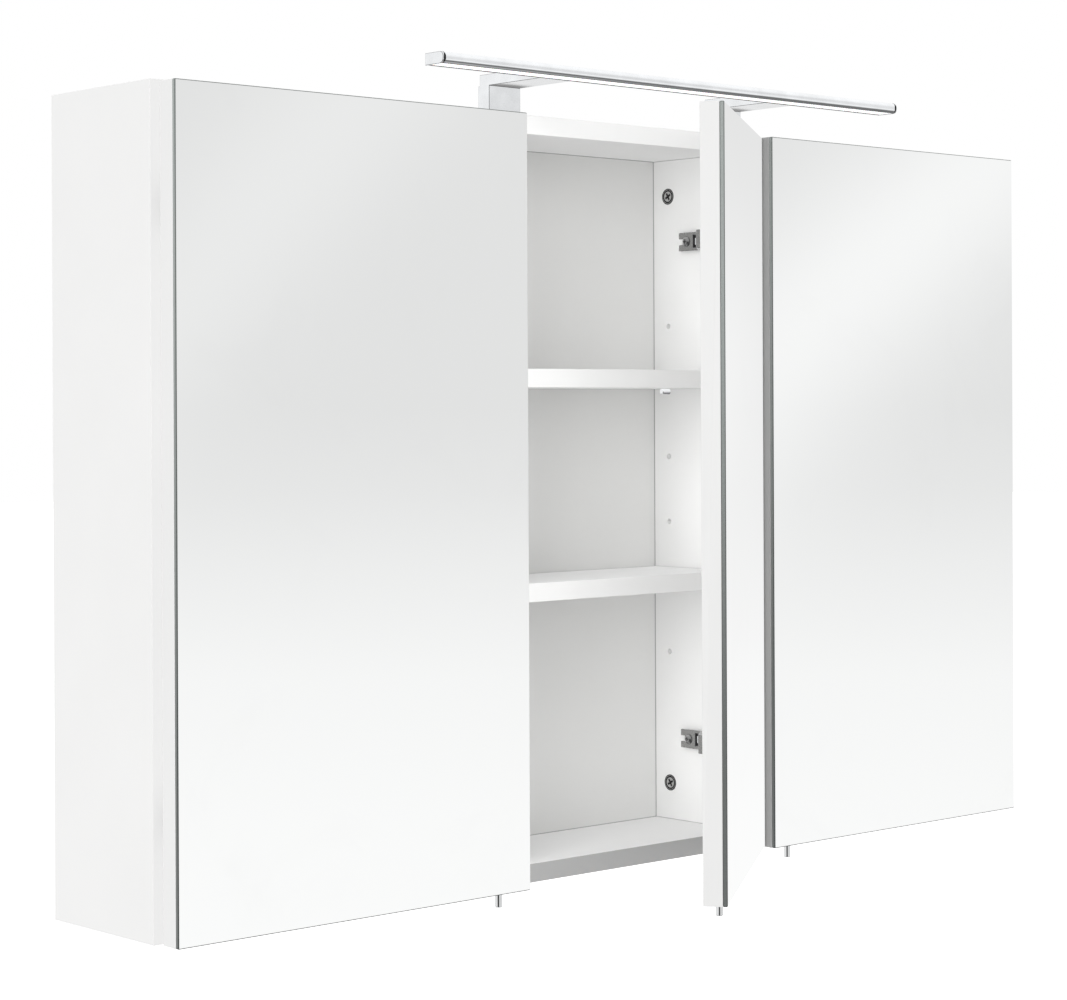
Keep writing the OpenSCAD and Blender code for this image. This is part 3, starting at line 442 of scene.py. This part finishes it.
for name, obj in NODES.items():
    # Mirrors and chrome show only the plain studio, as in the photograph. The left door lets light into
    # the narrow gap behind it.
    obj.visible_glossy = False
    if obj["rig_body"] == "left_door":
        obj.visible_shadow = False
        obj.visible_diffuse = False
    if name.startswith("door_mirror"):
        side = name.rsplit("_", 1)[1]
        paint(obj, mirror_glass("mirror_" + side, OUTWARD[side]), m_arris)
        soften(obj, GLASS_EDGE, 1, edge_material=1)
    else:
        key = max((k for k in LOOK if name.startswith(k)), key=len)
        paint(obj, LOOK[key])
    if name.startswith(BOARDS):
        soften(obj, BOARD_EDGE)
    elif name.startswith(TRIMMED):
        obj.data.materials.append(m_trim)
        soften(obj, TRIM_EDGE, edge_material=1)


# ---- added pieces ------------------------------------------------------------------------------------------

def lamp_strip(name, rings, smooth=False):
    """A black strip on the lamp, lofted through equal rings of points in the row frame."""
    mesh = bpy.data.meshes.new(name)
    bm = bmesh.new()
    rows = [[bm.verts.new(p) for p in ring] for ring in rings]
    count = len(rows[0])
    for a, b in zip(rows, rows[1:]):
        for i in range(count):
            bm.faces.new((a[i], a[(i + 1) % count], b[(i + 1) % count], b[i]))
    bm.faces.new(rows[0][::-1])
    bm.faces.new(rows[-1])
    bmesh.ops.recalc_face_normals(bm, faces=bm.faces)
    bm.to_mesh(mesh)
    bm.free()
    for polygon in mesh.polygons:
        polygon.use_smooth = smooth
    obj = bpy.data.objects.new(name, mesh)
    bpy.context.scene.collection.objects.link(obj)
    paint(obj, m_black_strip)
    obj.visible_glossy = False
    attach(obj, "cabinet")


def diffuser_seal():
    """The black seal bead that holds the diffuser along its rear edge."""
    low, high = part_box("lamp_diffuser")
    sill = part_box("lamp_housing")[0].z
    y, end_gap = high.y, 0.2 * MM
    section = [(y, sill + 0.02 * MM), (y - 0.50 * MM, sill + 0.06 * MM), (y - 0.70 * MM, sill + 0.20 * MM),
               (y - 0.72 * MM, low.z), (y, low.z)]
    lamp_strip("lamp_seal", [[(x, *p) for p in section] for x in (low.x + end_gap, high.x - end_gap)])


def cap_dark_strips():
    """A dark strip round the lamp's nose where each end cap meets the housing, widest at the front."""
    low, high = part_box("lamp_housing")
    nose, steps, half = 4.0 * MM, 20, math.radians(84.0)
    least_width, extra_width = 0.2 * MM, 2.6 * MM
    # Each ring of points: height above the nose, and place across the width from -1 to 1.
    profile = ((-0.5, -1), (0.12, -0.8), (0.16, 0.0), (0.12, 0.8), (-0.5, 1))
    for side, x in (("left", low.x), ("right", high.x)):
        rings = []
        for i in range(steps + 1):
            turn = -half + 2 * half * i / steps
            centre_z = (high.z - nose) if turn > 0 else (low.z + nose)
            width = least_width + extra_width * math.cos(turn) ** 3
            ring = []
            for rise, across in profile:
                r = nose + rise * MM
                ring.append((x + across * width / 2, low.y + nose - r * math.cos(turn),
                             centre_z + r * math.sin(turn)))
            rings.append(ring)
        lamp_strip("lamp_cap_dark_strip_" + side, rings, smooth=True)


diffuser_seal()
cap_dark_strips()


# ---- world, lights, floor ----------------------------------------------------------------------------------

# Brightness by the height of a direction, from straight down at -1 to straight up at 1: what lights matt
# surfaces, and what mirrors and chrome show.
FILL = [(-1.0, 0.28), (-0.3, 0.40), (0.0, 0.48), (0.5, 0.53), (1.0, 0.58)]
WALL = [(-1.0, 0.80), (-0.82, 0.62), (-0.68, 0.18), (-0.54, 0.16), (-0.45, 0.42), (-0.36, 0.85),
        (-0.25, 0.985), (-0.16, 0.965), (-0.10, 0.93), (-0.06, 0.86), (-0.03, 0.80), (0.0, 0.768),
        (0.14, 0.766), (0.30, 0.94), (0.55, 1.02), (1.0, 1.05)]
# The key light on matt surfaces comes from the left and front, and fades out straight up and down.
KEY_SIDE = Vector((-0.75, -0.66, 0.05)).normalized()
KEY_EDGE = (-0.5, 0.5)
KEY_STEEP = (0.8, 0.3)
KEY_LEVEL = 0.95
# Soft slanted bands in the mirrors: slope, offset, spread, level, and the sides where each begins and ends.
BANDS = [(0.93, -0.5835, 0.045, 0.065, (0.2, 0.5), (0.92, 1.0)),
         (0.61, -0.631, 0.058, 0.165, (0.96, 1.06), (1.4, 1.6)),
         (0.0, 0.03, 0.09, 0.17, (1.5, 1.8), (4.0, 5.0))]
# The dark flag that round chrome shows: where it begins and ends sideways, and in height.
FLAG_SIDES = ((-2.6, -1.8), (-0.35, -0.5))
FLAG_HEIGHTS = ((-0.02, -0.06), (-0.5, -0.4))
FLAG_DARKNESS = 0.97
ROOM_LEVEL, REAR_LEFT_LIFT = 1.02, 0.22
LEAST_AHEAD, LEAST_FRONT = 0.05, 0.02


def build_world():
    """A white studio: the camera sees plain white, matt surfaces are lit by a soft fill with a key light, and
    mirrors and chrome see a wall whose brightness changes with height, with slanted soft bands."""
    world = bpy.data.worlds.new("studio")
    bpy.context.scene.world = world
    world.use_nodes = True
    tree = world.node_tree
    tree.nodes.clear()

    def node(kind, **settings):
        made = tree.nodes.new(kind)
        for key, value in settings.items():
            setattr(made, key, value)
        return made

    def put(socket, value):
        if isinstance(value, bpy.types.NodeSocket):
            tree.links.new(value, socket)
        else:
            socket.default_value = value

    def calc(operation, *values):
        made = node("ShaderNodeMath", operation=operation)
        for socket, value in zip(made.inputs, values):
            put(socket, value)
        return made.outputs[0]

    def smooth(value, low, high):
        made = node("ShaderNodeMapRange", interpolation_type="SMOOTHSTEP")
        for key, x in (("Value", value), ("From Min", low), ("From Max", high)):
            put(made.inputs[key], x)
        return made.outputs[0]

    def pick(chooser, otherwise, chosen):
        made = node("ShaderNodeMix", data_type="FLOAT")
        for index, value in ((0, chooser), (2, otherwise), (3, chosen)):
            put(made.inputs[index], value)
        return made.outputs[0]

    way = node("ShaderNodeTexCoord").outputs["Generated"]
    split = node("ShaderNodeSeparateXYZ")
    put(split.inputs[0], way)
    dx, dy, dz = split.outputs
    ahead = calc("MAXIMUM", calc("ABSOLUTE", dy), LEAST_AHEAD)
    across = calc("DIVIDE", dx, ahead)
    rise = calc("DIVIDE", dz, ahead)
    path = node("ShaderNodeLightPath")

    def levels(stops):
        """A brightness for each height of the direction."""
        peak = max(level for _, level in stops)
        ramp = node("ShaderNodeValToRGB")
        elements = ramp.color_ramp.elements
        while len(elements) < len(stops):
            elements.new(0.5)
        for element, (height, level) in zip(elements, stops):
            element.position = (height + 1) / 2
            element.color = rgb(level / peak, level / peak, level / peak)
        put(ramp.inputs[0], calc("MULTIPLY_ADD", dz, 0.5, 0.5))
        return calc("MULTIPLY", ramp.outputs[0], peak)

    def band(slope, offset, spread, level, begins, ends):
        """A bell across the line rise = slope * across + offset."""
        away = calc("SUBTRACT", rise, calc("MULTIPLY_ADD", across, slope, offset))
        bell = calc("POWER", math.e, calc("MULTIPLY", calc("POWER", calc("DIVIDE", away, spread), 2.0), -0.5))
        seen = calc("MULTIPLY", smooth(across, *begins), calc("SUBTRACT", 1.0, smooth(across, *ends)))
        return calc("MULTIPLY", calc("MULTIPLY", bell, seen), level)

    def key_light():
        towards = node("ShaderNodeVectorMath", operation="DOT_PRODUCT")
        put(towards.inputs[0], way)
        put(towards.inputs[1], KEY_SIDE)
        lit = calc("MULTIPLY", smooth(towards.outputs["Value"], *KEY_EDGE), KEY_LEVEL)
        return calc("MULTIPLY", lit, smooth(calc("ABSOLUTE", dz), *KEY_STEEP))

    def flagged(level):
        """Darkened by the flag, except in the mirrors, whose rays are singular."""
        flank = calc("DIVIDE", dx, calc("MAXIMUM", calc("MULTIPLY", dy, -1.0), LEAST_FRONT))
        sides, heights = ([smooth(value, *limits) for limits in pair]
                          for value, pair in ((flank, FLAG_SIDES), (dz, FLAG_HEIGHTS)))
        flag = calc("MULTIPLY", calc("MULTIPLY", *sides), calc("MULTIPLY", *heights))
        flag = calc("MULTIPLY", flag, calc("SUBTRACT", 1.0, path.outputs["Is Singular Ray"]))
        return calc("MULTIPLY", level, calc("SUBTRACT", 1.0, calc("MULTIPLY", flag, FLAG_DARKNESS)))

    fill = calc("ADD", levels(FILL), key_light())
    room = levels(WALL)
    for values in BANDS:
        room = calc("ADD", room, band(*values))
    rear_left = calc("MULTIPLY", smooth(dy, 0.0, 0.4), smooth(dx, 0.2, -0.2))
    room = calc("MULTIPLY", flagged(room), calc("MULTIPLY_ADD", rear_left, REAR_LEFT_LIFT, ROOM_LEVEL))
    lit = pick(path.outputs["Is Diffuse Ray"], room, fill)
    background = node("ShaderNodeBackground")
    background.inputs["Color"].default_value = rgb(1.0, 1.0, 1.0)
    put(background.inputs["Strength"], pick(path.outputs["Is Camera Ray"], lit, 1.0))
    put(node("ShaderNodeOutputWorld").inputs[0], background.outputs[0])


# The boards and fittings that can be seen inside the compartments.
INSIDE = ("back_sheet", "divider", "top_panel", "bottom_panel", "shelf_", "cam_", "hinge_plates",
          "hinge_arms_centre")


def area_light(name, place, aim, size, power):
    """A soft light card that lights only the INSIDE nodes; mirrors, chrome and the camera don't see it."""
    data = bpy.data.lights.new(name, "AREA")
    data.shape = "RECTANGLE"
    data.size, data.size_y = size
    data.energy = power
    obj = bpy.data.objects.new(name, data)
    bpy.context.scene.collection.objects.link(obj)
    obj.location = place
    obj.rotation_euler = (Vector(aim) - Vector(place)).to_track_quat("-Z", "Y").to_euler()
    obj.visible_glossy = False
    obj.visible_camera = False
    receivers = bpy.data.collections.new(name + "_receivers")
    for node_name in NODES:
        if node_name.startswith(INSIDE):
            receivers.objects.link(NODES[node_name])
    obj.light_linking.receiver_collection = receivers


def studio_floor():
    """A wide pale floor under the cabinet, a real wall cabinet's height below it."""
    drop, half_width, columns, rows = 1.25, 40.0, 24, 96
    mesh = bpy.data.meshes.new("floor")
    bm = bmesh.new()
    bmesh.ops.create_grid(bm, x_segments=columns, y_segments=rows, size=half_width)
    bm.to_mesh(mesh)
    bm.free()
    obj = bpy.data.objects.new("floor", mesh)
    obj.location = (0, 0, cad_low.z - drop)
    bpy.context.scene.collection.objects.link(obj)
    g = Graph("floor_pale")
    g.set(Base_Color=g.mix(g.noise(1.5, 2.0), rgb(0.94, 0.94, 0.94), rgb(0.96, 0.96, 0.96)), Roughness=0.9,
          Emission_Color=rgb(1, 1, 1), Emission_Strength=0.60)
    paint(obj, g.material)
    obj.visible_glossy = False
    obj.visible_diffuse = False


build_world()
area_light("fill_card", place=(-1.30, -0.705, 0.08), aim=(0.14, -0.10, -0.25), size=(0.57, 2.2), power=16.0)
area_light("front_card", place=(-0.42, -1.15, -0.32), aim=(-0.02, -0.05, -0.26), size=(0.45, 1.7), power=0.95)
studio_floor()
scene = bpy.context.scene
scene.view_settings.view_transform = "Standard"
scene.view_settings.look = "None"


# ---- camera ------------------------------------------------------------------------------------------------

CAMERA_PLACE = (-1.6004, -1.7819, -0.1897)
CAMERA_YAW, CAMERA_ROLL = 0.7351711, -0.0043641
CAMERA_LENS, CAMERA_SENSOR, CAMERA_SHIFT = 88.18, 36.0, -0.0844


def build_camera():
    """The photograph's viewpoint: level, from the left, with the view shifted down."""
    ahead = Vector((math.sin(CAMERA_YAW), math.cos(CAMERA_YAW), 0.0))
    level_right = Vector((math.cos(CAMERA_YAW), -math.sin(CAMERA_YAW), 0.0))
    level_up = level_right.cross(ahead)
    right = level_right * math.cos(CAMERA_ROLL) + level_up * math.sin(CAMERA_ROLL)
    up = level_up * math.cos(CAMERA_ROLL) - level_right * math.sin(CAMERA_ROLL)
    data = bpy.data.cameras.new("camera")
    data.sensor_width = CAMERA_SENSOR
    data.lens = CAMERA_LENS
    data.shift_y = CAMERA_SHIFT
    data.clip_start, data.clip_end = 0.05, 200.0
    obj = bpy.data.objects.new("camera", data)
    scene.collection.objects.link(obj)
    turn = Matrix((right, up, -ahead)).transposed().to_4x4()
    obj.matrix_world = Matrix.Translation(CAMERA_PLACE) @ turn
    scene.camera = obj


build_camera()
